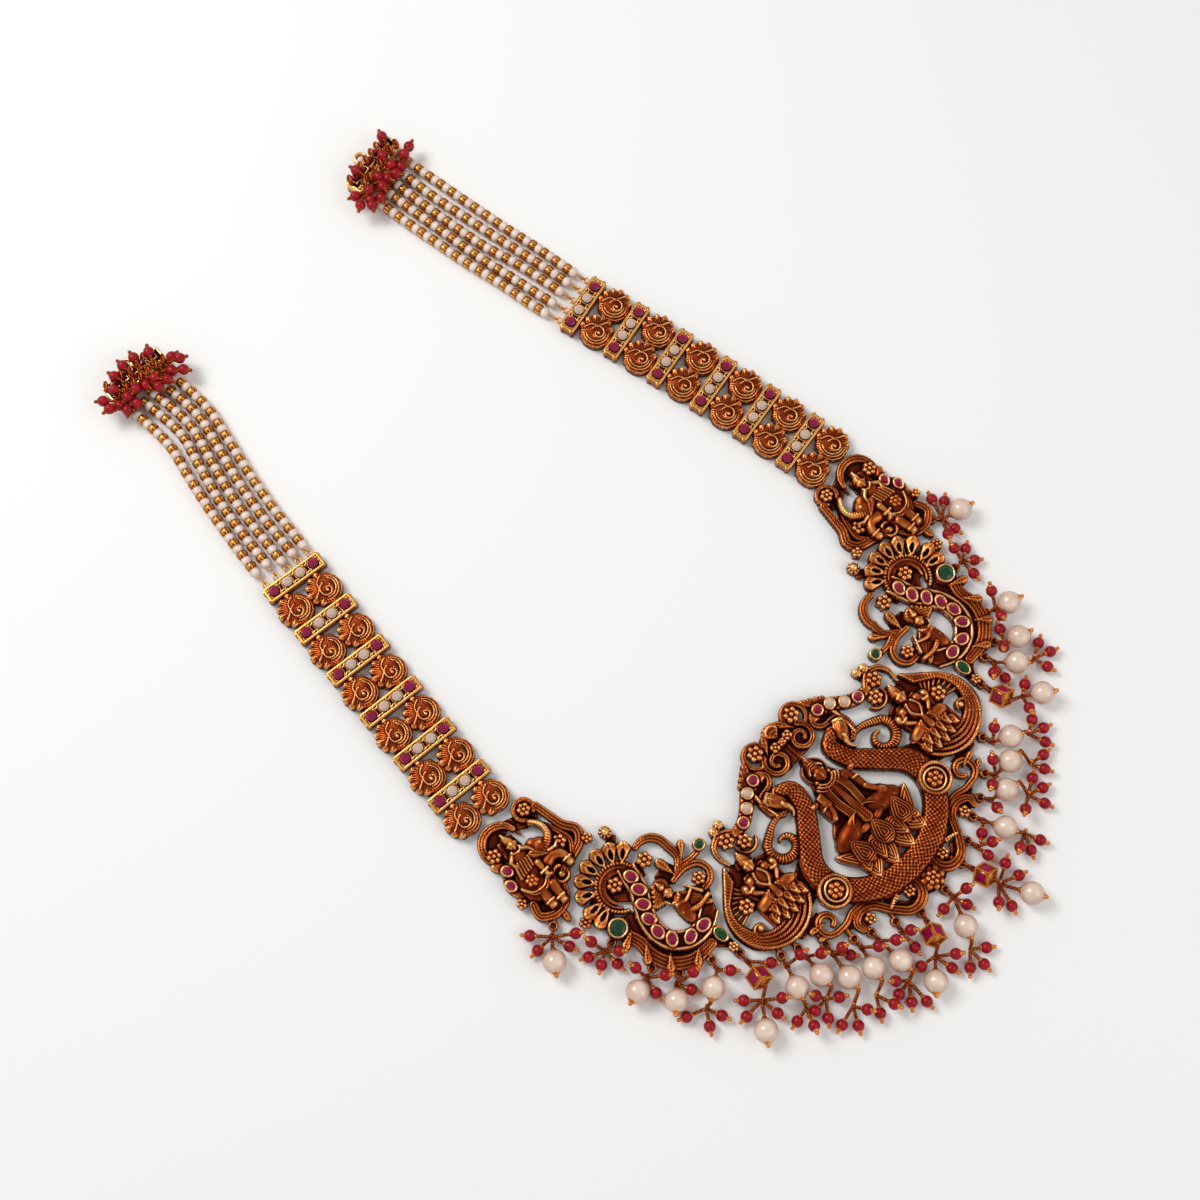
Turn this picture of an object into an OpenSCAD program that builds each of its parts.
// Long temple necklace, lying flat on its back with its open ends towards +Y.
// Cast and pierced front plates, two jointed side chains of bars and shell domes, five strings
// a side, and a fringe of pearls and corals on pins. Millimetres, +Z up, Z = 0 under the plates.

/* [Front] */
// Width of the front over the outer flowers of the two peacock panels
front_w = 127; // [118:1:136]
// Thickness of the cast plates
plate_t = 1.6; // [1.4:0.1:2.2]
// Height of the ropes and scrolls above their plate
rope_h = 1.0; // [0.5:0.1:1.6]
// Height of domes, leaves and flower centres above their plate
boss_h = 1.7; // [1:0.1:2.4]
// Height of the scaled body above its plate
body_h = 2.2; // [1.4:0.1:2.8]
// Height of the middle figure above its plate
figure_h = 4.2; // [2.5:0.1:5]
// Height of the small side figures above their plate
side_figure_h = 2.8; // [1.6:0.1:3.6]

/* [Stones] */
// Diameter of the round stones in the bars
bar_stone_d = 2.6; // [2:0.1:2.9]
// Length of the oval rubies in the peacock panels
oval_l = 2.7; // [2.2:0.1:2.8]
// Diameter of the round stones on the rim of the pendant
rim_stone_d = 2.1; // [1.8:0.1:2.3]
// Diameter of the large round emeralds
emerald_d = 3.8; // [3.2:0.1:4.2]
// Height of a stone above its seat
stone_h = 1.1; // [0.8:0.1:1.4]
// Wall of a stone's setting
bezel_wall = 0.45; // [0.35:0.05:0.6]

/* [Side chains] */
// Length of a bar, across the chain
bar_l = 16; // [15.6:0.1:17]
// Width of a bar, along the chain
bar_w = 4.1; // [3.8:0.1:5]
// Height of a bar
bar_h = 3; // [2.6:0.1:3.6]
// Length of a shell dome, along the chain
shell_l = 8.5; // [8:0.1:9.5]
// Height of a shell dome
shell_h = 3.6; // [3:0.1:4.4]
// Width of the hidden tongues between bars and domes
tongue_w = 1.6; // [1.2:0.1:2.4]
// Number of bars on each side
bar_count = 6; // [6:1:6]

/* [Strings] */
// Diameter of a string of small pearls
string_d = 2.4; // [2:0.1:2.5]
// Length of an end bar
end_bar_l = 17; // [16:0.1:18]
// Width of an end bar
end_bar_w = 5; // [4:0.1:6]
// Inner diameter of the eye for the tie cord
eye_bore = 2; // [1.6:0.1:2.6]
// Thickness of that eye
eye_t = 1.3; // [1:0.1:1.8]
// Wall of that eye
eye_wall = 0.8; // [0.6:0.1:1.2]

/* [Fringe] */
// Diameter of a large pearl
pearl_d = 5.6; // [4.8:0.1:6]
// Diameter of a coral bead
coral_d = 2.8; // [2.4:0.1:3]
// Edge of a gold cube bead
cube_e = 4; // [3.4:0.1:4.4]
// Diameter of the pin wire
pin_d = 0.5; // [0.4:0.05:0.7]
// Inner diameter of a jump ring
ring_bore = 2; // [1.8:0.1:2.4]
// Diameter of the ball at a pin's end
ball_d = 1; // [0.8:0.1:1.2]

/* [Fits] */
// Clearance between pieces that lie side by side
gap = 0.15; // [0.12:0.01:0.2]

/* [Hidden] */
$fn = 24;
BAR_ROWS = [1, 2, 3, 4, 5, 6];
STRING_ROWS = [1, 2, 3, 4, 5];

// The front is drawn in units of a 127th of its width, from a point level with the side chains.
unit = front_w / 127;
// Middle of the outer box in the drawing, which becomes the origin
middle = [0.6, 2.6];
skin = 0.3;
thread_d = 0.8;
u_peak = plate_t + body_h;
RIGHT = 1;
LEFT = -1;

// Lines and outlines

function at_angle(c, r, a) = [c[0] + r * cos(a), c[1] + r * sin(a)];
// Arc or spiral from angle a0 to a1, whose radius goes from r0 to r1
function arc(c, r0, r1, a0, a1, n) =
    [for (i = [0:n]) at_angle(c, r0 + (r1 - r0) * i / n, a0 + (a1 - a0) * i / n)];
// Smooth line through a few points
function between(a, b, c, d, t) =
    0.5 * (2 * b + (c - a) * t + (2 * a - 5 * b + 4 * c - d) * t * t + (3 * b - a - 3 * c + d) * t * t * t);
function smooth(p, n = 4) = concat(
    [for (i = [0:len(p) - 2]) for (j = [0:n - 1])
        between(p[max(i - 1, 0)], p[i], p[i + 1], p[min(i + 2, len(p) - 1)], j / n)],
    [p[len(p) - 1]]);
function side_at(p, i) =
    let (d = p[min(i + 1, len(p) - 1)] - p[max(i - 1, 0)]) [-d[1], d[0]] / norm(d);
function mix(w, t) =
    let (k = t * (len(w) - 1), i = min(floor(k), len(w) - 2)) w[i] + (w[i + 1] - w[i]) * (k - i);

// A stroke along a line, as wide as the list w says from its start to its end, times share
module stroke(p, w, share = 1) {
    n = len(p) - 1;
    polygon(concat(
        [for (i = [0:n]) p[i] + side_at(p, i) * mix(w, i / n) * share / 2],
        [for (i = [n:-1:0]) p[i] - side_at(p, i) * mix(w, i / n) * share / 2]));
}

// A leaf or teardrop: its point at a, its round end at b
module leaf(a, b, w, share = 1) {
    d = b - a;
    s = [-d[1], d[0]] / norm(d) * w * share / 2;
    c = a + d * 0.68;
    polygon(concat([a + d * (1 - share) / 2], [for (t = [-90:36:90]) c + d * 0.32 * share * cos(t) + s * sin(t)]));
}

// A flower of n round petals
module flower(c, r, n, share = 1) {
    translate(c)
        for (i = [0:n - 1])
            rotate(i * 360 / n)
                translate([r * 0.62, 0])
                    circle(r = r * 0.38 * share + r * 0.06, $fn = 8);
    translate(c)
        circle(r = r * 0.62 * share, $fn = 8);
}

module dot(c, r) {
    translate(c)
        circle(r = r, $fn = r > 2 ? 18 : 10);
}

// Closes hairline gaps, so that soldered strokes are one outline
module solder() {
    offset(delta = -0.08)
        offset(delta = 0.08)
            children();
}

// A layer of the casting between two heights
module layer(z0, z1) {
    translate([0, 0, z0])
        linear_extrude(z1 - z0)
            solder()
                scale([unit, unit])
                    children();
}

module both() {
    children();
    mirror([1, 0, 0])
        children();
}

// Stones and their settings. A stone stands in a seat and shows a table above its girdle.

function hundredth(v) = round(v * 100) / 100;

module stone(l, w) {
    belly = [for (a = [0:45:315]) [hundredth(l / 2 * cos(a)), hundredth(w / 2 * sin(a))]];
    low = [for (p = belly) [p[0] * 0.8, p[1] * 0.8, 0]];
    girdle = [for (p = belly) [p[0], p[1], stone_h * 0.5]];
    table = [for (p = belly) [p[0] * 0.58, p[1] * 0.58, stone_h]];
    n = len(belly);
    polyhedron(
        points = concat(low, girdle, table),
        faces = concat(
            [[for (i = [0:n - 1]) i]],
            [for (k = [0, n]) for (i = [0:n - 1]) [k + i, k + n + i, k + n + (i + 1) % n, k + (i + 1) % n]],
            [[for (i = [n - 1:-1:0]) 2 * n + i]]));
}

// The hole that a stone sits in, and the wall round it
module seat(l, w) {
    oval(l + 2 * gap, w + 2 * gap);
}

module bezel(l, w) {
    oval(l + 2 * gap + 2 * bezel_wall, w + 2 * gap + 2 * bezel_wall);
}

// Twelve sides round an oval
module oval(l, w) {
    polygon([for (a = [0:30:330]) [l * cos(a), w * sin(a)] / 2 / cos(15)]);
}

seat_z = plate_t + rope_h - 0.5;
bezel_z = seat_z + stone_h * 0.7;

// Centre pendant. Its right half is drawn, and the left half is its mirror image.

U_BODY = smooth([
    [9.6, -61.6], [6.8, -64], [8.2, -69], [12.4, -74], [16.4, -78.6], [17.3, -83.2],
    [15.6, -88], [11.6, -92], [6, -94.6], [0.6, -95.3], [-0.6, -95.3]], 3);
U_WIDTH = [2.6, 4.4, 5, 5.4, 5.8, 5.9, 6, 6.1, 6.2, 6.2];
VOLUTE = concat(
    smooth([[9.6, -66.9], [12.4, -65.9], [15.6, -65.9], [18.8, -67.4]], 2),
    arc([17.2, -71], 4.1, 1.3, 40, -290, 12));
VOLUTE_W = [1, 1.3, 1.8, 2.4, 2.6, 2.2, 1.6, 0.7];
RIM = smooth([[9.4, -56.4], [11.4, -55.9], [14.5, -57], [17.2, -59.2], [20.2, -60.8], [23.4, -61]], 2);
JAW = smooth([[9.2, -55.8], [8.3, -57.6], [9.6, -59.4], [12.6, -59.9], [14.2, -61.4], [14, -64.4], [12.2, -66.4]], 2);
CRESCENT_ROPES = 5;
function crescent(k) = concat(
    [[31 + 0.25 * k, -64.6 - 0.8 * k]],
    arc([30.2 + 0.25 * k, -77.2 + 0.3 * k], 9.7 - 0.6 * k, 9.7 - 0.88 * k, 44, -155, 10));
LOWER_SCROLL = concat(
    smooth([[12, -94], [17.4, -92.3], [21, -93.1], [24.2, -93]], 2),
    arc([23.9, -90], 2.9, 1.2, -60, 250, 11));
LOWER_SWIRL = concat(
    smooth([[19.6, -97], [19.7, -95], [17, -93.7], [14, -94.9], [12, -98.2]], 2),
    arc([6.3, -98.6], 4.4, 3, -28, -190, 12));
CREST_RING = arc([6.5, -52.6], 2.7, 3.1, 170, -70, 8);
CREST_SPIRAL = arc([4.1, -57.2], 3.3, 0.9, 60, -420, 16);
ROSETTE_RING = arc([23.1, -63.9], 2.7, 2.5, -160, 10, 8);
SHOULDER = smooth([[23.4, -60.4], [26, -58.6], [28.8, -59.4], [30.1, -61.8], [29.6, -64.8]], 2);
PEARL_HOOK = arc([35.5, -80], 1.7, 1.3, -50, 170, 8);

RIM_RUBIES = [[11.4, -55.9], [20.2, -60.8]];
RIM_WHITES = [[14.5, -57], [17.2, -59.2]];
HALF_FLOWERS = [
    [6.4, -52.1, 2], [23.1, -63.8, 1.9], [26.1, -60.8, 2], [33.9, -74, 1.9],
    [16.6, -96.4, 1.3], [5.9, -98.8, 1.5]];

module pendant_strokes(share) {
    stroke(VOLUTE, VOLUTE_W, share);
    stroke(RIM, [2.6, 3.4, 3.4, 3.4, 3.4, 2], share);
    stroke(JAW, [1.4, 1.4, 1.4, 1.8, 1.8, 1.4], share);
    for (k = [0:CRESCENT_ROPES - 1])
        stroke(crescent(k), [0.9, 0.9, 0.95], share);
    stroke(LOWER_SCROLL, [1.4, 1.6, 1.7, 1.7, 1.2], share);
    stroke(LOWER_SWIRL, [1.6, 2.2, 2.2, 2.4, 2], share);
    stroke(CREST_RING, [1, 1.3, 1.4, 1], share);
    stroke(CREST_SPIRAL, [1.5, 1.2, 1.1, 0.9], share);
    stroke(ROSETTE_RING, [0.8, 1, 0.8], share);
    stroke(SHOULDER, [1.4, 1.6, 1.4, 0.9], share);
    stroke(PEARL_HOOK, [0.9, 1, 0.7], share);
}

// Leaf fringe over the rim, and the fan at the top of the crest
module pendant_leaves(share) {
    for (i = [0:3])
        leaf([12 + 0.5 * i, -56], [10 + 1.5 * i, -51.4 - 0.9 * i], 1.9, share);
    for (a = [50:20:90])
        leaf([0, -53.4], at_angle([0, -52.6], 3.2, a), 1.9, share);
    leaf([4.6, -54.6], [2.1, -50.6], 2, share);
    leaf([24, -89.6], [28.8, -88.6], 1.9, share);
    leaf([25.6, -92.4], [28.6, -91], 1.5, share);
    leaf([22, -62.6], [22.6, -59.9], 1.4, share);
}

// Flat ground between the strokes, left where the casting isn't cut through
module pendant_ground() {
    stroke(U_BODY, U_WIDTH);
    dot([17.7, -86.4], 4.1);
    polygon([[0, -51], [8, -51.6], [7.6, -53.6], [5.8, -55], [7.2, -57.4], [5.6, -60.2], [3, -60.6], [0, -60.2]]);
    polygon([[10, -57], [14, -57], [15, -60], [14, -62], [11, -60.6], [9, -58.6]]);
    dot([11.6, -62.9], 2.2);
    polygon([[8, -66], [12, -66], [12, -63], [9, -62]]);
    stroke(crescent(2.1), [1, 3, 4.6, 4.6, 4.8, 4]);
    polygon([[29.4, -65], [31.6, -66.6], [36, -71.6], [35, -75.6], [31, -77], [22.6, -77.4], [21.3, -69], [24.4, -68]]);
    polygon([[19.6, -78], [23, -76.4], [33, -77], [32.4, -82], [27, -86], [20, -84]]);
    polygon([[14, -74], [22, -77.6], [20.6, -82.4], [15, -80]]);
    polygon([[0, -97], [6, -97], [11, -95], [12, -98.4], [7.4, -97.8], [5, -99], [3, -97.8], [3.6, -102.4], [0, -104]]);
    stroke(arc([6.3, -98.6], 3.2, 2.6, -20, -150, 8), [2.2, 2.6, 2]);
    polygon([[13.6, -94], [17, -92], [22, -92.4], [25, -92.6], [20.6, -95.4], [19, -97.4]]);
    polygon([[23.6, -86.6], [31.6, -86.4], [30.4, -88.4], [25.4, -88.2]]);
    for (f = HALF_FLOWERS)
        flower([f[0], f[1]], f[2] + 0.1, 8);
    dot([24.5, -56.8], 1.15);
    dot([26.5, -57.2], 1.15);
    polygon([[23.6, -57.4], [28, -57.6], [27.6, -59.6], [24, -60]]);
}

// Seated figure and its two rows of lotus petals, outlines from the back of the relief to its front
module figure_outline() {
    dot([0, -64.8], 3.2);
    polygon([[0, -60], [1.4, -62], [3.4, -69], [5.6, -71.4], [6.6, -75.6], [9.4, -78.6], [9.8, -81.6], [0, -83.6]]);
}

module lotus(share) {
    for (x = [0, 3.9, 7])
        leaf([x * 0.86, -88.6], [x * 1.24, -82.6 + 0.03 * x], 4.6, share);
    leaf([7.4, -88.2], [10.9, -82.4], 2.4, share);
    for (x = [2.6, 7.2])
        leaf([x * 0.86, -87.4], [x * 1.08, -92.4 + 0.02 * x * x], 4.4, share);
}

module figure_layers() {
    layer(0, plate_t + figure_h * 0.3)
        both() {
            figure_outline();
            lotus(1);
            polygon([[0, -82], [8.4, -82], [8, -89.6], [0, -91]]);
        }
    layer(plate_t, plate_t + figure_h * 0.55)
        both() {
            lotus(0.7);
            polygon([[0, -66], [2.2, -69], [4.4, -71.6], [5.4, -76], [8.8, -79.2], [8.6, -81.4], [0, -82.6]]);
            leaf([3.6, -76.4], [3, -70.6], 1.7);
            polygon([[0, -61.2], [1.3, -62.6], [1.4, -66.6], [0, -68]]);
        }
    layer(plate_t, plate_t + figure_h * 0.78)
        both()
            polygon([[0, -69.4], [2, -70.4], [2.6, -73.4], [1.7, -76.4], [2.8, -79.6], [7.4, -80], [6.6, -81.6], [0, -82]]);
    translate([0, -65.4 * unit, plate_t + figure_h * 0.62])
        sphere(r = figure_h * 0.33, $fn = 12);
    translate([0, -72 * unit, plate_t + figure_h * 0.42])
        sphere(r = figure_h * 0.54, $fn = 12);
}

// Two small seated figures on beaded lotus seats, one in each half of the pendant
module side_figures() {
    layer(0, plate_t + side_figure_h * 0.35)
        both() {
            leaf([26.8, -71.5], [26.8, -65], 4.4);
            polygon([[24.6, -70], [29, -70], [31.2, -73], [30.4, -75.6], [32.4, -77.6], [32.8, -82], [22, -82],
                [21.6, -77.4], [23.4, -75.6], [22.6, -72.6]]);
        }
    layer(plate_t, plate_t + side_figure_h * 0.7)
        both() {
            leaf([26.8, -71], [26.8, -65.6], 2.8);
            polygon([[25.2, -70.6], [28.4, -70.6], [29.6, -73], [28.8, -75.8], [31.6, -77.8], [22.4, -77.8],
                [24.8, -75.8], [24, -73]]);
            for (i = [0:4])
                dot([22.9 + 2.1 * i, -79.7], 0.95);
            for (i = [0:2])
                leaf([24.4 + 2.8 * i, -80.4], [24.1 + 2.9 * i, -83.4], 2.4);
        }
    both()
        translate([26.8 * unit, -68.6 * unit, plate_t + side_figure_h * 0.6])
            sphere(r = side_figure_h * 0.4, $fn = 10);
}

// A hanging point: a flat ring soldered to a plate's edge, bored for a jump ring
eyelet_r = 1.15;
eyelet_bore = 1.1;
eyelet_z = [1.15, 1.95];
// The room that a jump ring needs in the plate behind its eyelet
module ring_room(p, a) {
    translate([p[0], p[1], -1])
        rotate(a)
            translate([-eyelet_bore / 2, -eyelet_bore / 2, 0])
                cube([3.4, eyelet_bore, 9]);
}

module eyelet(p, a) {
    difference() {
        union() {
            translate([p[0], p[1], eyelet_z[0]])
                cylinder(r = eyelet_r, h = eyelet_z[1] - eyelet_z[0], $fn = 10);
            translate([p[0], p[1], 0])
                rotate(a)
                    translate([-3, -0.5, 0])
                        cube([2.1, 1, eyelet_z[1]]);
        }
        translate([p[0], p[1], -1])
            cylinder(d = eyelet_bore, h = 4, $fn = 10);
    }
}

module center_pendant() {
    color("goldenrod") {
        pendant_plate();
        for (h = PENDANT_HOOKS)
            eyelet(hook_at(h), hook_angle(h));
    }
}

module pendant_plate() {
    difference() {
        union() {
            layer(0, plate_t)
                both() {
                    pendant_ground();
                    pendant_strokes(1);
                    pendant_leaves(1);
                }
            layer(plate_t - skin, plate_t + rope_h)
                both() {
                    pendant_strokes(0.62);
                    pendant_leaves(0.7);
                }
            layer(plate_t - skin, u_peak - body_h * 0.35)
                both()
                    stroke(U_BODY, U_WIDTH, 0.84);
            layer(plate_t, u_peak)
                both()
                    stroke(U_BODY, U_WIDTH, 0.5);
            layer(plate_t - skin, plate_t + boss_h)
                both() {
                    for (f = HALF_FLOWERS)
                        flower([f[0], f[1]], f[2], 6, 0.8);
                    dot([17.7, -86.4], 3.6);
                    dot([11.6, -62.9], 1.8);
                    dot([24.5, -56.8], 0.9);
                    dot([26.5, -57.2], 0.9);
                    dot([35.3, -79.6], 0.8);
                    flower([0, -100.6], 2.9, 8, 0.8);
                }
            figure_layers();
            side_figures();
            both()
                for (s = concat(RIM_RUBIES, RIM_WHITES))
                    translate([s[0] * unit, s[1] * unit, 0])
                        linear_extrude(bezel_z)
                            bezel(rim_stone_d, rim_stone_d);
        }
        for (h = PENDANT_HOOKS)
            ring_room(hook_at(h), hook_angle(h));
        both()
            for (s = concat(RIM_RUBIES, RIM_WHITES))
                translate([s[0] * unit, s[1] * unit, seat_z])
                    linear_extrude(5)
                        seat(rim_stone_d, rim_stone_d);
        both()
            translate([17.7 * unit, -86.4 * unit, plate_t + boss_h * 0.6])
                cylinder(r = 2.6 * unit, h = 5, $fn = 12);
    }
}

module pendant_stones(places) {
    both()
        for (s = places)
            translate([s[0] * unit, s[1] * unit, seat_z + gap])
                stone(rim_stone_d, rim_stone_d);
}

module center_rubies() {
    color("crimson")
        pendant_stones(RIM_RUBIES);
}

module center_whites() {
    color("mistyrose")
        pendant_stones(RIM_WHITES);
}

// Peacock panel, drawn for the right side

S_BAND = smooth([
    [46.3, -48.4], [47, -50.5], [47.9, -54], [49.8, -56.9], [51.4, -60.1], [52, -63.6], [51, -67.2],
    [47.7, -69.9], [43.6, -70.3], [40, -68.6]], 2);
// Place and heading of each oval ruby along the band
OVALS = [
    [47, -50.7, 75], [47.9, -54, 62], [49.7, -57, 58], [51.2, -60.2, 70], [51.9, -63.6, 95], [50.9, -67, 125],
    [47.6, -69.7, 165], [43.7, -70.1, 185]];
TAIL = [50.5, -50.5];
TAIL_ANGLES = [-14, 6, 33, 56, 78, 100, 121, 142];
tail_reach = 8.9;
C_SCROLL = concat(arc([40.2, -51], 4.3, 4.2, 75, 195, 10), smooth([[36, -53.4], [36.4, -55.6], [38.6, -57.6]], 2));
S_SCROLL = smooth([[41, -58.4], [37.4, -58.2], [34.3, -59.6], [33.5, -62.2], [35.2, -64.4], [38.6, -64.4], [41, -63.2]], 2);
OUTER_BAND = smooth([[57.6, -58.4], [56.4, -62], [56.6, -66], [55, -70.4], [51, -73.6], [45.4, -74.2]], 2);
LINK_ARM = smooth([[37.6, -57], [34.6, -57.8], [32, -57.8]], 2);
PANEL_FLOWERS = [[50.9, -49.3, 1.8], [42, -50.3, 1.9], [36.6, -62.2, 1.7], [61.6, -50.2, 1.5], [42.6, -78.3, 1.3]];
BIG_EMERALD = [57.5, -56.4];
DROP_EMERALD = [42.5, -74.3];
SMALL_EMERALD = [30.9, -57.1];
small_emerald_d = 2.2;

module panel_strokes(share) {
    stroke(S_BAND, [3, 4.2, 4.4, 4.4, 4.4, 3], share);
    stroke(arc(TAIL, 5.3, 5.3, -64, 196, 16), [1.2, 1.5, 1.5, 1.2], share);
    stroke(arc(TAIL, 3.9, 3.7, -30, 190, 11), [0.9, 1, 0.9], share);
    stroke(C_SCROLL, [1.6, 2.2, 2.2, 1.8], share);
    stroke(S_SCROLL, [1.4, 1.8, 1.8, 1.6, 1.4], share);
    stroke(OUTER_BAND, [3, 3, 3.2, 3.4, 3.2, 2.4], share);
    stroke(LINK_ARM, [1.6, 1.5, 1.4], share);
}

module panel_leaves(share) {
    for (a = TAIL_ANGLES)
        leaf(at_angle(TAIL, 5, a), at_angle(TAIL, tail_reach + 1.6, a), 3.5, share);
    leaf([55.8, -59], [60.4, -61], 2.4, share);
    leaf([55.6, -63.4], [58.8, -67], 2.4, share);
    leaf([53.6, -69], [56.6, -72], 2.4, share);
    leaf([48, -72.6], [51.6, -75.6], 2.4, share);
    leaf([39.8, -57.6], [40.4, -52.2], 2.6, share);
    leaf([36, -56.4], [33, -53.2], 2, share);
}

// The winged musician inside the panel
module musician(share) {
    leaf([43.2, -62], [44.6, -55.6], 4.6, share);
    leaf([45.8, -60.4], [47.4, -55.4], 2.8, share);
    leaf([43, -59], [45, -68.6], 4.4, share);
    leaf([44.4, -63.4], [37.6, -66.4], 3.2, share);
    leaf([44.4, -61.4], [38.8, -62.6], 2.6, share);
}

module panel_ground() {
    stroke(arc(TAIL, 4.4, 4.2, 10, 200, 12), [3.4, 3.4]);
    polygon([[45.6, -48], [53, -47.6], [53.4, -52], [49.6, -56], [46, -54]]);
    polygon([[55.4, -47], [60, -49], [60.4, -54], [56, -55]]);
    polygon([[52.4, -56.4], [57, -54.6], [58, -60], [54.6, -71], [46, -75], [43, -72], [53, -66]]);
    polygon([[42.6, -49.4], [45.8, -49], [46.4, -52.6], [44.4, -53]]);
    polygon([[39, -54], [43.4, -54.6], [44.2, -57], [41, -59], [38, -57]]);
    polygon([[46, -58], [49.6, -58.6], [50, -60], [46, -61]]);
    polygon([[39, -62], [44, -61], [43.4, -69.6], [38.4, -68.6], [36.4, -65.4]]);
    polygon([[44.6, -43.6], [42.2, -41.6], [43.6, -40], [45.6, -41.4]]);
    polygon([[41.4, -73], [45, -72], [45.4, -75.4], [43.4, -77.6], [41.6, -77.4]]);
    for (f = PANEL_FLOWERS)
        flower([f[0], f[1]], f[2] + 0.1, 8);
    dot([43.6, -39.4], 1.6);
    dot(BIG_EMERALD, emerald_d / 2 + 0.9);
}

module peacock_panel(side) {
    color("darkgoldenrod") {
        difference() {
            on_side(side, LEFT_PEACOCK)
                peacock_plate();
            for (h = panel_hooks(side))
                ring_room(hook_at(h), hook_angle(h));
        }
        for (h = panel_hooks(side))
            eyelet(hook_at(h), hook_angle(h));
    }
}

module peacock_plate() {
    difference() {
        union() {
            layer(0, plate_t) {
                panel_ground();
                panel_strokes(1);
                panel_leaves(1);
                musician(1);
            }
            layer(plate_t - skin, plate_t + rope_h) {
                panel_strokes(0.66);
                panel_leaves(0.72);
            }
            layer(plate_t - skin, plate_t + boss_h) {
                for (f = PANEL_FLOWERS)
                    flower([f[0], f[1]], f[2], 6, 0.8);
                for (a = TAIL_ANGLES)
                    dot(at_angle(TAIL, tail_reach, a), 1.1);
                musician(0.7);
                dot([43.6, -39.4], 1.1);
            }
            placed(OVALS, 0, bezel_z)
                bezel(oval_l, oval_l * 0.76);
            place(BIG_EMERALD, 0, bezel_z)
                bezel(emerald_d, emerald_d);
            place(DROP_EMERALD, 0, bezel_z)
                bezel(emerald_d * 0.58, emerald_d * 0.86);
            place(SMALL_EMERALD, 0, bezel_z)
                bezel(small_emerald_d, small_emerald_d);
        }
        placed(OVALS, seat_z, 5)
            seat(oval_l, oval_l * 0.76);
        place(BIG_EMERALD, seat_z, 5)
            seat(emerald_d, emerald_d);
        place(DROP_EMERALD, seat_z, 5)
            seat(emerald_d * 0.58, emerald_d * 0.86);
        place(SMALL_EMERALD, seat_z, 5)
            seat(small_emerald_d, small_emerald_d);
        translate([42.6 * unit, -78.6 * unit, -1])
            cylinder(r = 0.5, h = 9);
    }
}

// A round or oval wall or hole round the stone at p, between two heights
module place(p, z0, z1) {
    translate([p[0] * unit, p[1] * unit, z0])
        linear_extrude(z1 - z0)
            children();
}

module placed(rows, z0, z1) {
    for (r = rows)
        translate([r[0] * unit, r[1] * unit, z0])
            rotate(r[2])
                linear_extrude(z1 - z0)
                    children();
}

module peacock_rubies() {
    color("mediumvioletred")
        for (r = OVALS)
            translate([r[0] * unit, r[1] * unit, seat_z + gap])
                rotate(r[2])
                    stone(oval_l, oval_l * 0.76);
}

module emerald_set() {
    color("seagreen") {
        translate([BIG_EMERALD[0] * unit, BIG_EMERALD[1] * unit, seat_z + gap])
            stone(emerald_d, emerald_d);
        translate([DROP_EMERALD[0] * unit, DROP_EMERALD[1] * unit, seat_z + gap])
            stone(emerald_d * 0.58, emerald_d * 0.86);
        translate([SMALL_EMERALD[0] * unit, SMALL_EMERALD[1] * unit, seat_z + gap])
            stone(small_emerald_d, small_emerald_d);
    }
}

// Elephant panel, drawn for the right side

BIG_SCROLL = arc([62.3, -25], 4.6, 4.4, 168, -22, 14);
SMALL_SCROLL = arc([52.9, -22.7], 2.6, 2.3, -60, 230, 14);
NECK_BAND = smooth([[50.3, -24], [49.6, -28], [48.9, -31.4], [47.3, -34.2], [48.6, -36.8], [52.4, -38.2], [57, -39.6]], 2);
INNER_BAND = smooth([[53.6, -25.6], [51.9, -28.4], [50.6, -32], [50, -35], [51.6, -37.4]], 2);
RUBY_BAND = smooth([[66.9, -27.6], [65.5, -30.2], [67.2, -33.4], [66.9, -36.6]], 2);
FOOT_SCROLL = smooth([[66.4, -40], [67, -43], [64, -45], [60.4, -44.4], [58.2, -41.6]], 2);
TRUNK = smooth([[57.4, -33.6], [55, -32.6], [53.7, -30.6], [53.8, -28], [55, -26.6]], 2);
ELEPHANT_RUBIES = [[65.4, -30.4, 70], [67.1, -33.4, 75]];
elephant_ruby_l = 2.2;
ELEPHANT_FLOWERS = [[52.9, -22.7, 1.6], [65.2, -25.8, 1.7], [52.2, -33.7, 1.7], [68.1, -38, 1.3], [47, -37.6, 1.3]];

module elephant_strokes(share) {
    stroke(BIG_SCROLL, [1.4, 2.2, 2.2, 1.6], share);
    stroke(SMALL_SCROLL, [1, 1.2, 1], share);
    stroke(NECK_BAND, [2, 2.2, 2.4, 2.4, 2.2, 1.8], share);
    stroke(INNER_BAND, [1.2, 1.3, 1.2], share);
    stroke(RUBY_BAND, [2, 2.8, 2.8, 1.8], share);
    stroke(FOOT_SCROLL, [2, 2.2, 2.2, 2, 1.6], share);
}

module elephant_body(share) {
    stroke(TRUNK, [2.6, 1.7, 1.5, 1.4, 1], share);
    leaf([56, -36], [59, -30.4], 6.2, share);
    leaf([60.4, -31], [62.8, -41.4], 9, share);
    leaf([60.2, -36], [60.2, -43.6], 2.6, share);
    leaf([63.6, -36], [63.6, -43.6], 2.6, share);
    leaf([57, -34], [54.5, -39.2], 1.9, share);
    leaf([61.4, -33], [61.6, -25.6], 4.4, share);
}

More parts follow.
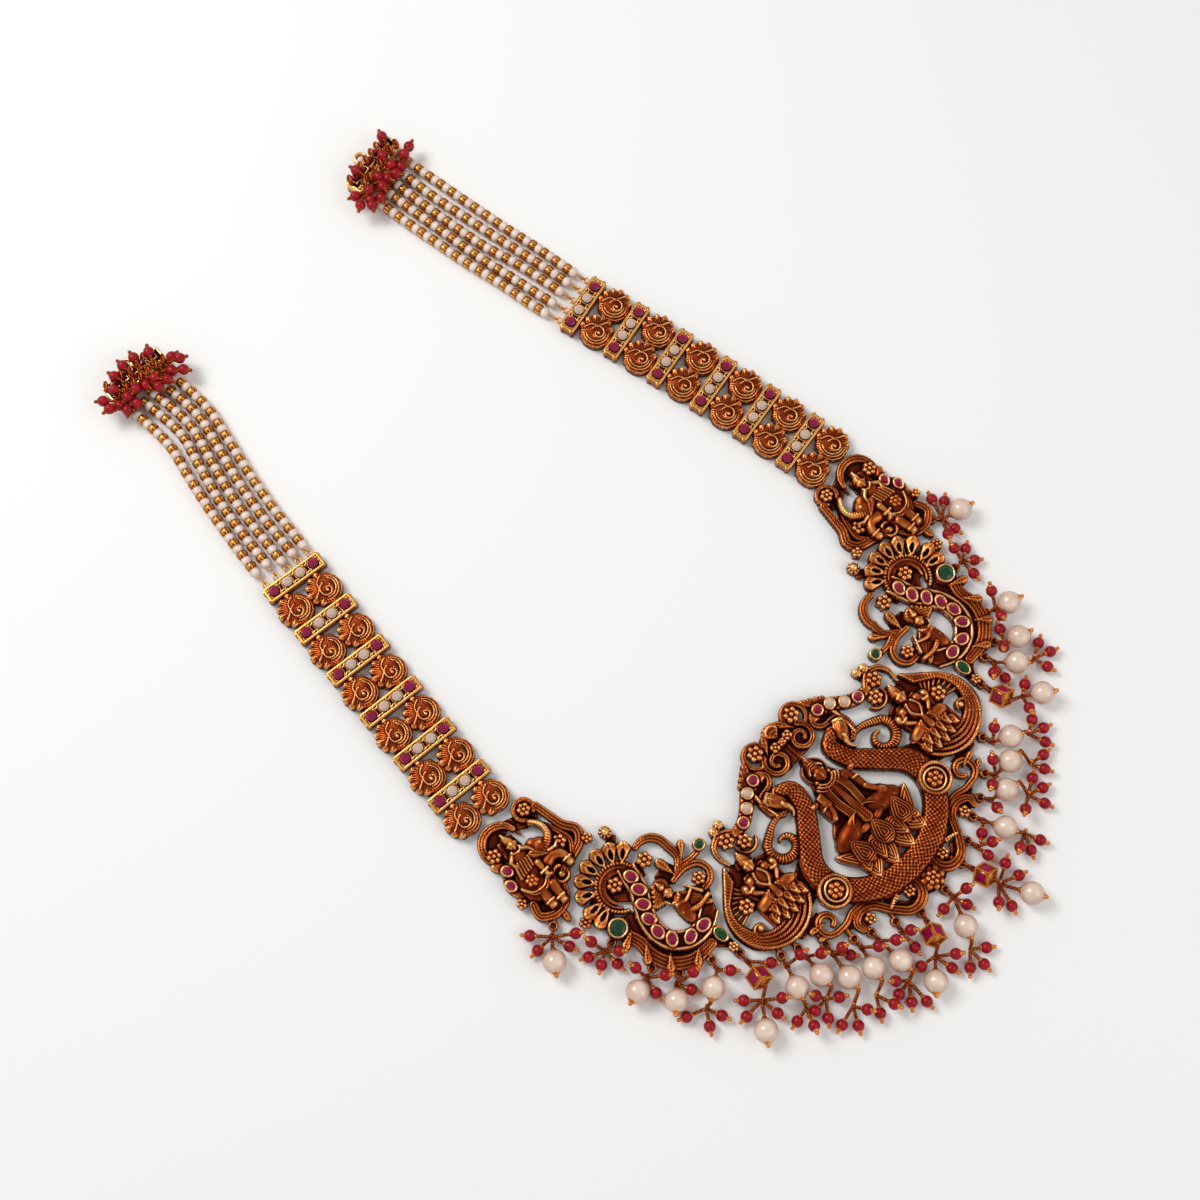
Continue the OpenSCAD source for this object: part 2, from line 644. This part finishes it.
module elephant_ground() {
    polygon([[50.2, -22], [54.6, -20.6], [57.2, -25], [55, -26.4], [51.6, -26.2]]);
    polygon([[56, -22], [60, -20.6], [65, -20.6], [67.6, -25], [66.4, -28], [59.6, -29.6], [60.8, -24], [58.4, -23.4],
        [57.4, -26.6]]);
    polygon([[49, -29], [54, -31], [56.6, -29.4], [58, -31], [57, -38], [54, -40], [49, -37.4], [47, -34]]);
    polygon([[58, -29], [66.6, -29], [68.2, -34], [66.6, -39.6], [66.6, -43.6], [62, -45.2], [58.4, -43.4], [57, -38]]);
    leaf([62, -43], [63, -48.4], 2);
    for (f = ELEPHANT_FLOWERS)
        flower([f[0], f[1]], f[2] + 0.1, 8);
}

module elephant_panel(side) {
    color("darkgoldenrod") {
        difference() {
            union() {
                on_side(side, LEFT_ELEPHANT)
                    elephant_plate();
                below_bar(side, bar_count)
                    for (x = [-1, 1])
                        translate([x * bar_l / 4 - 1.7, -shell_l / 2 - 2 * gap - 3.6, 0])
                            cube([3.4, 3.6, 2.4]);
            }
            for (h = elephant_hooks(side))
                ring_room(hook_at(h), hook_angle(h));
            // The room for the lowest domes, and a mortise for each of their tongues
            below_bar(side, bar_count) {
                translate([-bar_l * 0.6, -shell_l / 2 - 2 * gap, -1])
                    cube([bar_l * 1.2, shell_l / 2, 9]);
                for (x = [-1, 1])
                    translate([x * bar_l / 4 - tongue_w / 2 - gap, -shell_l / 2 - gap - 1.1, 0.6])
                        cube([tongue_w + 2 * gap, 2, 1.2]);
            }
        }
        for (h = elephant_hooks(side))
            eyelet(hook_at(h), hook_angle(h));
    }
}

module elephant_plate() {
    difference() {
        union() {
            layer(0, plate_t) {
                elephant_ground();
                elephant_strokes(1);
                elephant_body(1);
            }
            layer(plate_t - skin, plate_t + rope_h)
                elephant_strokes(0.66);
            layer(plate_t - skin, plate_t + boss_h) {
                for (f = ELEPHANT_FLOWERS)
                    flower([f[0], f[1]], f[2], 6, 0.8);
                elephant_body(0.86);
            }
            layer(plate_t, plate_t + body_h)
                elephant_body(0.6);
            placed(ELEPHANT_RUBIES, 0, bezel_z)
                bezel(elephant_ruby_l, elephant_ruby_l * 0.8);
        }
        placed(ELEPHANT_RUBIES, seat_z, 5)
            seat(elephant_ruby_l, elephant_ruby_l * 0.8);
    }
}

module elephant_ruby_pair() {
    color("mediumvioletred")
        for (r = ELEPHANT_RUBIES)
            translate([r[0] * unit, r[1] * unit, seat_z + gap])
                rotate(r[2])
                    stone(elephant_ruby_l, elephant_ruby_l * 0.8);
}

// How far each left panel lies from the mirror image of the right one: shift, turn, and about which point
LEFT_PEACOCK = [[-0.1, 0.5], 0, [50, -58]];
LEFT_ELEPHANT = [[0, 1.3], 2.5, [58, -33]];

module on_side(side, left) {
    if (side == RIGHT)
        children();
    else
        mirror([1, 0, 0])
            translate([left[0][0], left[0][1], 0] * unit)
                translate([left[2][0], left[2][1], 0] * unit)
                    rotate(left[1])
                        translate(-[left[2][0], left[2][1], 0] * unit)
                            children();
}

// Side chains. Each starts at its lowest bar and leans inwards a little more with every bar.

chain_step = bar_w + shell_l + 2 * gap;
FIRST_BAR = [undef, [59, -8.9], [58.8, -7]];
LEAN = [undef, [6.5, 0.9], [7.2, 0.35]];
function row(side) = side == RIGHT ? 1 : 2;
function lean(side, k) = LEAN[row(side)][0] + LEAN[row(side)][1] * (bar_count - k);
// Middle of bar k, counted from the strings down, on the right side or mirrored from the left one
function bar_at(side, k) = k == bar_count
    ? FIRST_BAR[row(side)] * unit
    : bar_at(side, k + 1) + chain_step * [-sin(lean(side, k + 0.5)), cos(lean(side, k + 0.5))];

module in_chain(side, k) {
    mirror([side == LEFT ? 1 : 0, 0, 0])
        translate([bar_at(side, k)[0], bar_at(side, k)[1], 0])
            rotate(lean(side, k))
                children();
}

stone_pitch = bar_l * 0.235;
bar_wall = 0.6;
module stone_places(list) {
    for (i = list)
        translate([(i - 1.5) * stone_pitch, 0, 0])
            children();
}

module bar(side, k) {
    color("gold")
        in_chain(side, k)
            difference() {
                translate([-bar_l / 2, -bar_w / 2, 0])
                    cube([bar_l, bar_w, bar_h]);
                stone_places([0:3])
                    translate([0, 0, bar_h - 0.5])
                        linear_extrude(2)
                            seat(bar_stone_d, bar_stone_d);
                for (x = [-1, 1], y = [-1, 1])
                    translate([x * bar_l / 4 - tongue_w / 2 - gap, y * (bar_w / 2 - 0.5) - 0.6, 0.6])
                        cube([tongue_w + 2 * gap, 1.2, 1.3]);
                // Grooves between the settings
                stone_places([-0.5:1:3.5])
                    translate([-0.22, -bar_w / 2 + bar_wall, bar_h - 0.3])
                        cube([0.44, bar_w - 2 * bar_wall, 1]);
            }
}

module bar_stones(side, list, tint) {
    color(tint)
        for (k = BAR_ROWS)
            in_chain(side, k)
                stone_places(list)
                    translate([0, 0, bar_h - 0.5 + gap])
                        stone(bar_stone_d, bar_stone_d);
}

// One shell dome: a round back, a fan of leaf tips towards the outside and a raised snail line
module shell_dome() {
    r = shell_l * 0.45;
    tips = shell_l / 8.5;
    linear_extrude(1.1)
        solder() {
            circle(r = r, $fn = 15);
            for (a = [25:31:149])
                leaf(at_angle([0, 0], r * 0.3, a), at_angle([0, 0.1], shell_l * 0.53, a), 2 * tips);
        }
    intersection() {
        translate([0, 0, shell_h - shell_l * 0.78])
            sphere(r = shell_l * 0.78);
        cylinder(r = r * 0.97, h = shell_h + 1);
    }
    translate([0, 0, 1])
        linear_extrude(shell_h - 0.9)
            solder()
                stroke(arc([0.9, -0.6] * tips, 1.7 * tips, 0.5 * tips, 170, -200, 7), [0.7, 0.6, 0.5]);
}

// The frame halfway between bar k and the next piece down the chain
module below_bar(side, k) {
    mirror([side == LEFT ? 1 : 0, 0, 0])
        translate([bar_at(side, k)[0], bar_at(side, k)[1], 0])
            rotate(lean(side, k + 0.5))
                translate([0, -chain_step / 2, 0])
                    children();
}

module shells(side, k) {
    color("peru")
        below_bar(side, k) {
            for (x = [-1, 1])
                translate([x * bar_l * 0.262, 0, 0])
                    intersection() {
                        rotate(-62)
                            shell_dome();
                        translate([-6, -shell_l / 2, 0])
                            cube([12, shell_l, 9]);
                    }
            translate([-0.8, -0.6, 0])
                cube([1.6, 1.2, 1.4]);
            for (x = [-1, 1])
                translate([x * bar_l / 4 - tongue_w / 2, -shell_l / 2 - gap - 0.9, 0.75])
                    cube([tongue_w, shell_l + 2 * gap + 1.8, 0.9]);
        }
}

// Strings. Each route is a few chosen points between the first bar and the end bar.

RIGHT_ROUTES = [
    [[40.8, 65], [39.6, 75], [37.9, 85], [36.7, 95], [35.5, 105]],
    [[44.1, 65], [42.5, 75], [41, 85], [40, 95], [39, 105]],
    [[47.9, 65], [46.4, 75], [44.2, 85], [43, 95], [42, 105]],
    [[51, 65], [49.6, 75], [48, 85], [46.6, 95], [45.3, 105]],
    [[54.1, 65], [53, 75], [51.5, 85], [50.3, 95], [49.2, 105]]];
LEFT_ROUTES = [
    [[-42, 66], [-40.6, 75], [-38.5, 85], [-35.9, 95], [-33.7, 105]],
    [[-45.2, 66], [-44, 75], [-41.9, 85], [-39.1, 95], [-36.7, 105]],
    [[-48.4, 66], [-47.2, 75], [-45.2, 85], [-42.3, 95], [-39.8, 105]],
    [[-51.7, 66], [-50.4, 75], [-48.4, 85], [-45.5, 95], [-42.9, 105]],
    [[-55, 66], [-53.5, 75], [-51.6, 85], [-49.2, 95], [-46.9, 105]]];
string_sides = 8;
string_steps = 2;

// A round tube swept along a route that lies level
module tube(route, d, z) {
    p = smooth(route, string_steps);
    n = len(p);
    m = string_sides;
    rings = [for (i = [0:n - 1]) for (j = [0:m - 1])
        let (s = side_at(p, i), a = j * 360 / m)
        [p[i][0] + s[0] * cos(a) * d / 2, p[i][1] + s[1] * cos(a) * d / 2, z + sin(a) * d / 2]];
    polyhedron(
        points = rings,
        faces = concat(
            [[for (j = [0:m - 1]) j]],
            [for (i = [0:n - 2]) for (j = [0:m - 1])
                [i * m + j, (i + 1) * m + j, (i + 1) * m + (j + 1) % m, i * m + (j + 1) % m]],
            [[for (j = [m - 1:-1:0]) (n - 1) * m + j]]));
}

string_gap = 0.25;
// Where string k leaves the first bar, and where it meets the end bar
function string_foot(side, k) =
    let (x = (k - 3) * bar_l * 0.2, y = bar_w / 2 + string_gap, a = lean(side, 1), c = bar_at(side, 1))
    [side * (c[0] + x * cos(a) - y * sin(a)), c[1] + x * sin(a) + y * cos(a)];
function string_head(side, k) =
    let (x = side * (k - 3) * end_bar_l * 0.195, y = -end_bar_w / 2 - string_gap, a = END_TURN[row(side)], c = END_AT[row(side)])
    [c[0] + x * cos(a) - y * sin(a), c[1] + x * sin(a) + y * cos(a)];
function route(side, k) = concat(
    [string_foot(side, k)],
    side == RIGHT ? RIGHT_ROUTES[k - 1] : LEFT_ROUTES[k - 1],
    [string_head(side, k)]);

module string(side, k) {
    color("wheat")
        tube(route(side, k), string_d, string_d / 2 + 0.1);
}

// End bars, each with an eye for the tie cord on its outer side and stones along its outer face

END_AT = [undef, [40.8, 120.6], [-40.2, 122.6]];
END_TURN = [undef, 9, -5];
end_bar_h = 4;
// How far the eye's middle lies from the bar
eye_out = 1.7;
end_stone = 1.7;
END_STONES = [-2, -1, 0, 1, 2];

module at_end(side) {
    p = END_AT[row(side)];
    translate([p[0], p[1], 0])
        rotate(END_TURN[row(side)])
            children();
}

module end_bar(side) {
    color("gold")
        at_end(side)
            difference() {
                union() {
                    translate([-end_bar_l / 2, -end_bar_w / 2, 0])
                        cube([end_bar_l, end_bar_w, end_bar_h]);
                    translate([0, end_bar_w / 2 + eye_out, 2])
                        cylinder(d = eye_bore + 2 * eye_wall, h = eye_t, center = true);
                    translate([-0.9, 0, 2 - eye_t / 2])
                        cube([1.8, end_bar_w / 2 + eye_out - eye_bore / 2 - 0.2, eye_t]);
                }
                translate([0, end_bar_w / 2 + eye_out, 2])
                    cylinder(d = eye_bore, h = eye_t + 2, center = true);
                for (i = END_STONES)
                    translate([i * end_bar_l * 0.17 - end_stone / 2 - gap, end_bar_w / 2 - end_stone - 2 * gap - 0.3, end_bar_h - 0.5])
                        cube([end_stone + 2 * gap, end_stone + 2 * gap, 2]);
            }
}

module end_rubies() {
    color("crimson")
        for (side = [RIGHT, LEFT])
            at_end(side)
                for (i = END_STONES)
                    translate([i * end_bar_l * 0.17, end_bar_w / 2 - end_stone / 2 - gap - 0.3, end_bar_h - 0.5 + gap])
                        rotate(22.5)
                            stone(end_stone * 1.02, end_stone * 1.02);
}

// The thick bundle of corals that hangs from an end bar, as one solid of its outer form
TASSEL = [
    undef,
    [[30.2, 115.6], [33, 112.9], [36.6, 113], [40.4, 114.4], [44.2, 115.6], [47.9, 116], [50.4, 117]],
    [[-50.6, 119.2], [-47.4, 117.6], [-43.9, 117.3], [-40.4, 117.1], [-36.9, 116.3], [-33.5, 115.6], [-30.3, 117]]];
tassel_d = 4.2;
tassel_z = 4.8;
module end_tassel(side) {
    color("firebrick")
        tube(TASSEL[row(side)], tassel_d, tassel_z);
}

// Fringe. A drop hangs on an eyelet by a jump ring, from which pins spread to its beads. Where a pearl or
// a cube carries more, its pin runs on to a knot, a drop of solder with beads of its own.
// Row: panel, side, eyelet, heading of the ring, beads at the ring, carrier, knot, beads at the knot.
// A bead is its kind and its place.

CORAL = 0;
PEARL = 1;
CUBE = 2;
DROPS = [
    ["elephant", LEFT, [-67, -44.8], 215,
        [[PEARL, -72.6, -50.6], [CORAL, -72.2, -42.4], [CORAL, -73.4, -46], [CORAL, -67.8, -50.6]],
        [], [], []],
    ["peacock", LEFT, [-60.7, -57], 185,
        [[CORAL, -66.6, -55.4], [CORAL, -65.9, -58.7], [CORAL, -63.2, -61.2]], [], [], []],
    ["peacock", LEFT, [-58.6, -67.6], 190,
        [[PEARL, -64.7, -68.7], [CORAL, -62, -71.9]], [], [], []],
    ["peacock", LEFT, [-55.2, -72.8], 210,
        [[PEARL, -60.2, -76.4], [CORAL, -56, -77.2]], [], [], []],
    ["peacock", LEFT, [-48, -76.2], 250,
        [[CORAL, -46.9, -80.8]], [PEARL, -52.5, -80.6], [-56.8, -82.4],
        [[CORAL, -61.2, -80.4], [CORAL, -59.2, -85.6], [CORAL, -55.6, -86]]],
    ["peacock", LEFT, [-42.6, -79.8], 265,
        [[CORAL, -39.4, -86.4]], [CUBE, -43.8, -86.4], [-46.9, -90.4],
        [[CORAL, -49.8, -87.4], [CORAL, -52, -90.2], [CORAL, -46.7, -94.8], [PEARL, -51.4, -95.4]]],
    ["pendant", LEFT, [-36.6, -87], 250,
        [], [PEARL, -39.6, -94.2], [-41.4, -98.8], [[CORAL, -45, -99.2]]],
    ["pendant", LEFT, [-32.8, -88.8], 265,
        [], [PEARL, -33.8, -96.4], [-37, -100.8],
        [[CORAL, -40.6, -100.6], [CORAL, -39.8, -103.8], [CORAL, -34.6, -102.6]]],
    ["pendant", LEFT, [-28, -92.8], 260,
        [[CORAL, -25.9, -98.4]], [PEARL, -29.9, -101.3], [-34, -106.2],
        [[CORAL, -38.8, -107], [CORAL, -36.4, -109.8]]],
    ["pendant", LEFT, [-22.6, -96.6], 262,
        [], [PEARL, -24.6, -104], [-28.6, -108.4], [[CORAL, -31, -111.6]]],
    ["pendant", LEFT, [-18.8, -98.6], 265,
        [], [PEARL, -19.2, -107.4], [-21.2, -111.8],
        [[CORAL, -25, -112], [CORAL, -24.4, -115.2], [CORAL, -21.9, -117.6]]],
    ["pendant", LEFT, [-13.2, -101], 250,
        [[CORAL, -14.6, -107.9]], [], [], []],
    ["pendant", LEFT, [-7.6, -104], 250,
        [], [CUBE, -10, -109], [-13, -112.6],
        [[CORAL, -16.9, -111.7], [CORAL, -12.4, -117], [PEARL, -17.4, -116.2]]],
    ["pendant", RIGHT, [0, -104.6], 270,
        [[CORAL, -3.6, -107.2], [CORAL, 0.8, -110.4]], [PEARL, -3.4, -113.2], [-6.4, -117.4],
        [[CORAL, -9.6, -120], [CORAL, -3.6, -119.8], [CORAL, -6.8, -121.8]]],
    ["pendant", RIGHT, [7.2, -103.6], 285,
        [], [CUBE, 8.4, -109], [9.4, -112.9],
        [[CORAL, 7.5, -118.1], [CORAL, 14, -114.9], [CORAL, 14, -110.9], [PEARL, 12.6, -119.5]]],
    ["pendant", RIGHT, [12, -101.2], 280,
        [[CORAL, 12.7, -106.8]], [], [], []],
    ["pendant", RIGHT, [17.2, -98.6], 290,
        [[CORAL, 15.6, -102.6]], [PEARL, 20, -105.6], [22.4, -109.8],
        [[CORAL, 20.3, -113.3], [CORAL, 23.6, -113.4]]],
    ["pendant", RIGHT, [21.7, -97], 300,
        [], [PEARL, 27, -100.3], [29.8, -104.8],
        [[CORAL, 33.5, -103], [CORAL, 33.4, -106.2], [CORAL, 30.9, -108.8]]],
    ["pendant", RIGHT, [26.8, -94.2], 305,
        [], [PEARL, 32.7, -96.6], [35.8, -100.6],
        [[CORAL, 39.5, -101.4], [CORAL, 37.1, -103.7]]],
    ["pendant", RIGHT, [33, -88.4], 285,
        [], [PEARL, 37.3, -93], [41, -95.8],
        [[CORAL, 44.2, -94.2], [CORAL, 44.5, -97.4], [CORAL, 42.2, -99.8]]],
    ["peacock", RIGHT, [42.6, -79.9], 275,
        [], [CUBE, 43.1, -85.3], [47, -89],
        [[CORAL, 49.6, -87.6], [PEARL, 50.4, -91.9]]],
    ["peacock", RIGHT, [48.2, -76.4], 280,
        [[CORAL, 47.6, -83.2]], [PEARL, 52, -82.8], [56, -85.2],
        [[CORAL, 59.6, -83.6], [CORAL, 59.9, -87], [CORAL, 56.6, -88.8]]],
    ["peacock", RIGHT, [52.7, -75.7], 300,
        [[PEARL, 57.2, -79.2], [CORAL, 56, -74.8]], [], [], []],
    ["peacock", RIGHT, [56.8, -69.8], 335,
        [[PEARL, 62.1, -72.2]], [], [], []],
    ["peacock", RIGHT, [60.3, -57.2], -5,
        [[CORAL, 65.8, -56], [CORAL, 65.1, -59.4], [CORAL, 62.4, -61.4]], [], [], []],
    ["elephant", RIGHT, [66, -45.2], 310,
        [[PEARL, 72.1, -48.8], [CORAL, 69.9, -41.9], [CORAL, 71.6, -44.5], [CORAL, 68, -50.8]],
        [], [], []]];

ring_r = (ring_bore + pin_d) / 2;
ring_z = ring_bore / 2 + pin_d + 0.1;
knot_z = 1.2;
pin_end = 0.35;
bend_out = 0.6;
cube_z = 3.4;
joint_d = 1.2;
function hook_at(h) = h[2] * unit;
function hook_angle(h) = h[3];
PENDANT_HOOKS = [for (h = DROPS) if (h[0] == "pendant") h];
function panel_hooks(side) = [for (h = DROPS) if (h[0] == "peacock" && h[1] == side) h];
function elephant_hooks(side) = [for (h = DROPS) if (h[0] == "elephant" && h[1] == side) h];

function bead_r(b) = b[0] == CORAL ? coral_d / 2 : b[0] == PEARL ? pearl_d / 2 : cube_e / 2;
// A bead rests on the bench, a cube on its lower edge
function bead_at(b) = [b[1] * unit, b[2] * unit, b[0] == CUBE ? cube_z : bead_r(b)];
// Where the pins of a drop start: the far side of its jump ring
function pins_from(h) =
    let (p = at_angle(hook_at(h), 2 * ring_r, hook_angle(h))) [p[0], p[1], ring_z];
function knot_of(h) = [h[6][0] * unit, h[6][1] * unit, knot_z];

// The unit vector from a to b
function ahead(a, b) = (b - a) / norm(b - a);

// Turns +Z into the direction of v
module towards(v) {
    rotate([0, acos(v[2] / norm(v)), atan2(v[1], v[0])])
        children();
}

module wire(a, b) {
    translate(a)
        towards(b - a)
            cylinder(d = pin_d, h = norm(b - a), $fn = 5);
}

// A pin from a ring through a bead, with a ball beyond it
module pin(a, b) {
    c = bead_at(b);
    wire(a, c + ahead(a, c) * (bead_r(b) + pin_end + 0.1));
    translate(c + ahead(a, c) * (bead_r(b) + pin_end))
        towards(c - a)
            cylinder(d = ball_d, h = ball_d * 0.7, $fn = 5);
}

// Where the pin of a carrier comes out of it and bends towards the knot
function bend_of(h) = bead_at(h[5]) + ahead(pins_from(h), bead_at(h[5])) * (bead_r(h[5]) + bend_out);

module jump_ring() {
    linear_extrude(pin_d, center = true)
        difference() {
            circle(r = ring_r + pin_d / 2, $fn = 8);
            circle(r = ring_r - pin_d / 2, $fn = 8);
        }
}

// The drop of solder where pins meet
module joint() {
    cylinder(d = joint_d, h = joint_d * 0.75, center = true, $fn = 6);
}

// The jump ring of one drop with all its pins
module drop_wire(h) {
    c = at_angle(hook_at(h), ring_r, hook_angle(h));
    translate([c[0], c[1], ring_z])
        rotate([90, 0, hook_angle(h)])
            jump_ring();
    translate(pins_from(h))
        joint();
    for (b = h[4])
        pin(pins_from(h), b);
    if (len(h[5]) > 0) {
        wire(pins_from(h), bend_of(h));
        translate(bend_of(h))
            cylinder(d = pin_d * 1.6, h = pin_d * 1.4, center = true, $fn = 5);
        wire(bend_of(h), knot_of(h));
        translate(knot_of(h))
            joint();
    }
    for (b = h[7])
        pin(knot_of(h), b);
}

module drop_wires(side) {
    color("darkgoldenrod")
        for (h = DROPS)
            if (h[1] == side)
                drop_wire(h);
}

// A bead with its bore in the line from the point that its pin comes from
module bead(a, b) {
    c = bead_at(b);
    translate(c)
        towards(c - a)
            if (b[0] == CUBE)
                cube_bead();
            else
                rotate_extrude()
                    difference() {
                        circle(r = bead_r(b));
                        translate([-10, -10])
                            square([10 + thread_d / 2, 20]);
                    }
}

module beads(kind) {
    for (h = DROPS) {
        for (b = h[4])
            if (b[0] == kind)
                bead(pins_from(h), b);
        if (len(h[5]) > 0 && h[5][0] == kind)
            bead(pins_from(h), h[5]);
        for (b = h[7])
            if (b[0] == kind)
                bead(knot_of(h), b);
    }
}

// A cube bead on its corner edge, with a sunk field on each side face and its bore along Z
module cube_bead() {
    f = cube_e * 0.62;
    rotate(45)
        difference() {
            cube(cube_e, center = true);
            for (a = [0:90:270])
                rotate(a)
                    translate([cube_e / 2 - 0.3, -f / 2, -f / 2])
                        cube([1, f, f]);
            cylinder(d = thread_d, h = cube_e + 1, center = true);
        }
}

module drop_pearls() {
    color("seashell")
        beads(PEARL);
}

module drop_corals() {
    color("firebrick")
        beads(CORAL);
}

module drop_cubes() {
    color("goldenrod")
        beads(CUBE);
}

module part(name) {
    translate([-middle[0], -middle[1], 0])
            children();
}

part("center_pendant") center_pendant();
part("center_rubies") center_rubies();
part("center_whites") center_whites();
part("emeralds") {
    on_side(RIGHT, LEFT_PEACOCK) emerald_set();
    on_side(LEFT, LEFT_PEACOCK) emerald_set();
}
part("elephant_rubies") {
    on_side(RIGHT, LEFT_ELEPHANT) elephant_ruby_pair();
    on_side(LEFT, LEFT_ELEPHANT) elephant_ruby_pair();
}
for (side = [RIGHT, LEFT]) {
    s = side == RIGHT ? "right_" : "left_";
    part(str(s, "peacock_panel")) peacock_panel(side);
    part(str(s, "peacock_rubies")) on_side(side, LEFT_PEACOCK) peacock_rubies();
    part(str(s, "elephant_panel")) elephant_panel(side);
    for (k = BAR_ROWS) {
        part(str(s, "bar_", k)) bar(side, k);
        part(str(s, "shells_", k)) shells(side, k);
    }
    part(str(s, "bar_rubies")) bar_stones(side, [0, 3], "crimson");
    part(str(s, "bar_whites")) bar_stones(side, [1, 2], "mistyrose");
    for (k = STRING_ROWS)
        part(str(s, "string_", k)) string(side, k);
    part(str(s, "end_bar")) end_bar(side);
    part(str(s, "end_tassel")) end_tassel(side);
}
part("end_rubies") end_rubies();
part("drop_pearls") drop_pearls();
part("drop_corals") drop_corals();
part("right_drop_wires") drop_wires(RIGHT);
part("left_drop_wires") drop_wires(LEFT);
part("drop_cubes") drop_cubes();
